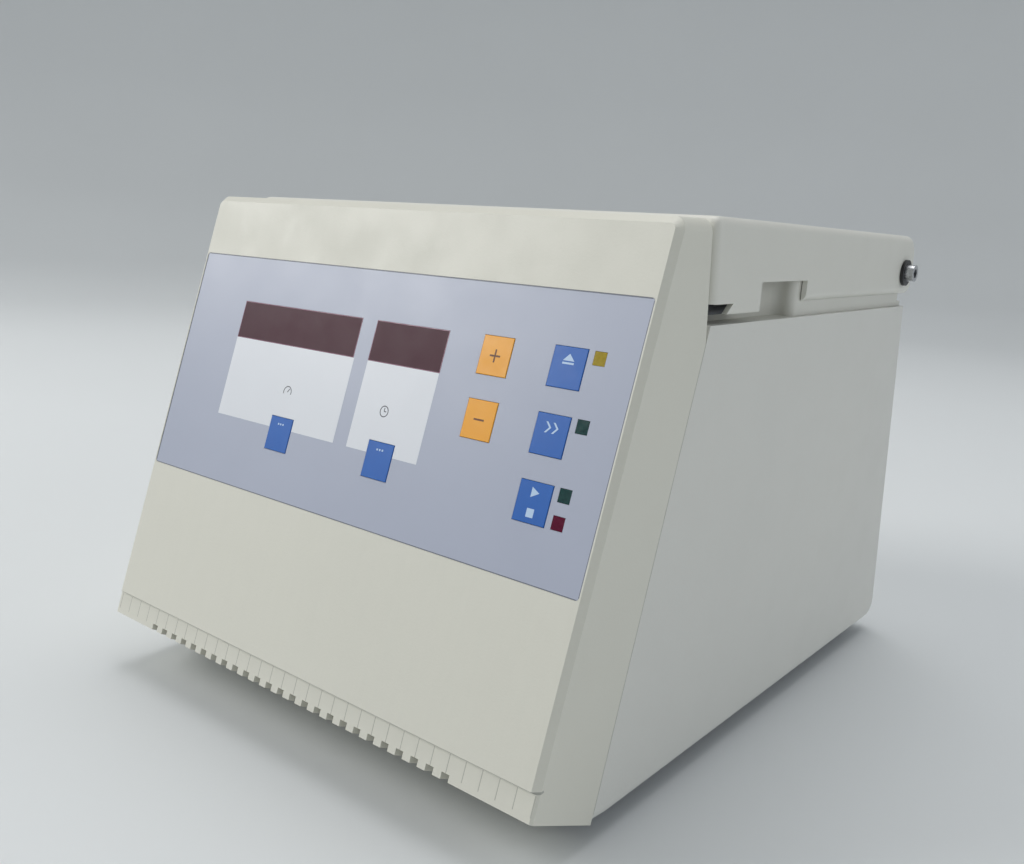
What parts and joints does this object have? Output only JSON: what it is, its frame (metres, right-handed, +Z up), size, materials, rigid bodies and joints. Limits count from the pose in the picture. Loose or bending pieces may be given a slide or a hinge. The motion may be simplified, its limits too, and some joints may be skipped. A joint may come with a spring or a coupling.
{
  "type": "microcentrifuge",
  "caption": "Bench microcentrifuge with a sloping control panel, a rear-hinged flat lid, an angle rotor in a steel chamber and an air-slotted lip under the face.",
  "frame": {"origin": "on the table under the middle of the body", "axes": "+X to the right seen from the front, +Y to the rear, +Z up"},
  "size_m": [0.2712, 0.3293, 0.2278],
  "materials": {
    "cream_plastic": "fine pebble grain",
    "grey_film": "satin film",
    "window_tint": "polished",
    "amber_plastic": "satin",
    "blue_plastic": "satin",
    "lamp_yellow": "polished",
    "lamp_green": "polished",
    "lamp_red": "polished",
    "circuit_board": "satin",
    "display_black": "satin",
    "sheet_steel": "zinc plated",
    "bowl_steel": "spun",
    "bright_steel": "ground",
    "hook_steel": "plain",
    "rotor_aluminium": "anodised",
    "motor_black": "satin",
    "core_steel": "lacquered",
    "black_rubber": "matt",
    "black_plastic": "satin"
  },
  "bodies": {
    "base": {"front_bezel": "cream_plastic", "housing": "cream_plastic", "deck": "cream_plastic", "membrane_panel": "grey_film", "speed_window": "window_tint", "time_window": "window_tint", "lamp_yellow": "lamp_yellow", "lamps_green": "lamp_green", "lamp_red": "lamp_red", "control_board": "circuit_board", "digit_displays": "display_black", "base_pan": "sheet_steel", "rubber_feet": "black_rubber", "chamber_bowl": "bowl_steel", "shaft_boot": "black_rubber", "motor_housing": "motor_black", "motor_bearings": "bright_steel", "motor_mounts": "black_rubber", "motor_bracket": "sheet_steel", "hinge_washers": "black_plastic", "hinge_screws": "bright_steel", "lock_solenoids": "motor_black", "lid_pads": "black_rubber", "mains_transformer": "core_steel", "power_board": "circuit_board", "mains_inlet": "black_plastic", "switch_frame": "black_plastic"},
    "lid": {"lid_shell": "cream_plastic", "lid_liner": "cream_plastic", "lid_seal": "black_rubber", "lid_hooks": "hook_steel"},
    "rotor": {"rotor": "rotor_aluminium", "rotor_nut": "bright_steel", "motor_shaft": "bright_steel"},
    "bolt_left": {"lock_bolt_left": "bright_steel"},
    "bolt_right": {"lock_bolt_right": "bright_steel"},
    "rocker": {"switch_rocker": "black_plastic"},
    "key_plus": {"key_plus": "amber_plastic"},
    "key_minus": {"key_minus": "amber_plastic"},
    "key_lid": {"key_lid": "blue_plastic"},
    "key_quick_run": {"key_quick_run": "blue_plastic"},
    "key_start_stop": {"key_start_stop": "blue_plastic"},
    "key_set_speed": {"key_set_speed": "blue_plastic"},
    "key_set_time": {"key_set_time": "blue_plastic"}
  },
  "joints": [
    {"name": "lid_hinge", "type": "hinge", "parent": "base", "child": "lid", "pos_m": [0, 0.13019, 0.20622], "axis": [-1, 0, 0], "range_deg": [0, 75]},
    {"name": "rotor_spin", "type": "hinge", "parent": "base", "child": "rotor", "pos_m": [0, 0.02829, 0.14002], "axis": [0, 0, 1], "continuous": true},
    {"name": "bolt_left_slide", "type": "slide", "parent": "base", "child": "bolt_left", "axis": [-1, 0, 0], "range_m": [0, 0.006], "stiffness_N_per_m": 60, "springref_m": -0.004},
    {"name": "bolt_right_slide", "type": "slide", "parent": "base", "child": "bolt_right", "axis": [1, 0, 0], "range_m": [0, 0.006], "stiffness_N_per_m": 60, "springref_m": -0.004},
    {"name": "rocker_tip", "type": "hinge", "parent": "base", "child": "rocker", "pos_m": [0.026, 0.15818, 0.05359], "axis": [0, -0.1331, 0.9911], "range_deg": [0, 16]},
    {"name": "key_plus_press", "type": "slide", "parent": "base", "child": "key_plus", "axis": [0, 0.948, -0.3183], "range_m": [0, 0.0005], "stiffness_N_per_m": 600, "springref_m": -0.0005},
    {"name": "key_minus_press", "type": "slide", "parent": "base", "child": "key_minus", "axis": [0, 0.948, -0.3183], "range_m": [0, 0.0005], "stiffness_N_per_m": 600, "springref_m": -0.0005},
    {"name": "key_lid_press", "type": "slide", "parent": "base", "child": "key_lid", "axis": [0, 0.948, -0.3183], "range_m": [0, 0.0005], "stiffness_N_per_m": 600, "springref_m": -0.0005},
    {"name": "key_quick_run_press", "type": "slide", "parent": "base", "child": "key_quick_run", "axis": [0, 0.948, -0.3183], "range_m": [0, 0.0005], "stiffness_N_per_m": 600, "springref_m": -0.0005},
    {"name": "key_start_stop_press", "type": "slide", "parent": "base", "child": "key_start_stop", "axis": [0, 0.948, -0.3183], "range_m": [0, 0.0005], "stiffness_N_per_m": 600, "springref_m": -0.0005},
    {"name": "key_set_speed_press", "type": "slide", "parent": "base", "child": "key_set_speed", "axis": [0, 0.948, -0.3183], "range_m": [0, 0.0005], "stiffness_N_per_m": 600, "springref_m": -0.0005},
    {"name": "key_set_time_press", "type": "slide", "parent": "base", "child": "key_set_time", "axis": [0, 0.948, -0.3183], "range_m": [0, 0.0005], "stiffness_N_per_m": 600, "springref_m": -0.0005}
  ],
  "couplings": [
    {"joint": "bolt_right_slide", "follows": "bolt_left_slide", "ratio": 1}
  ]
}
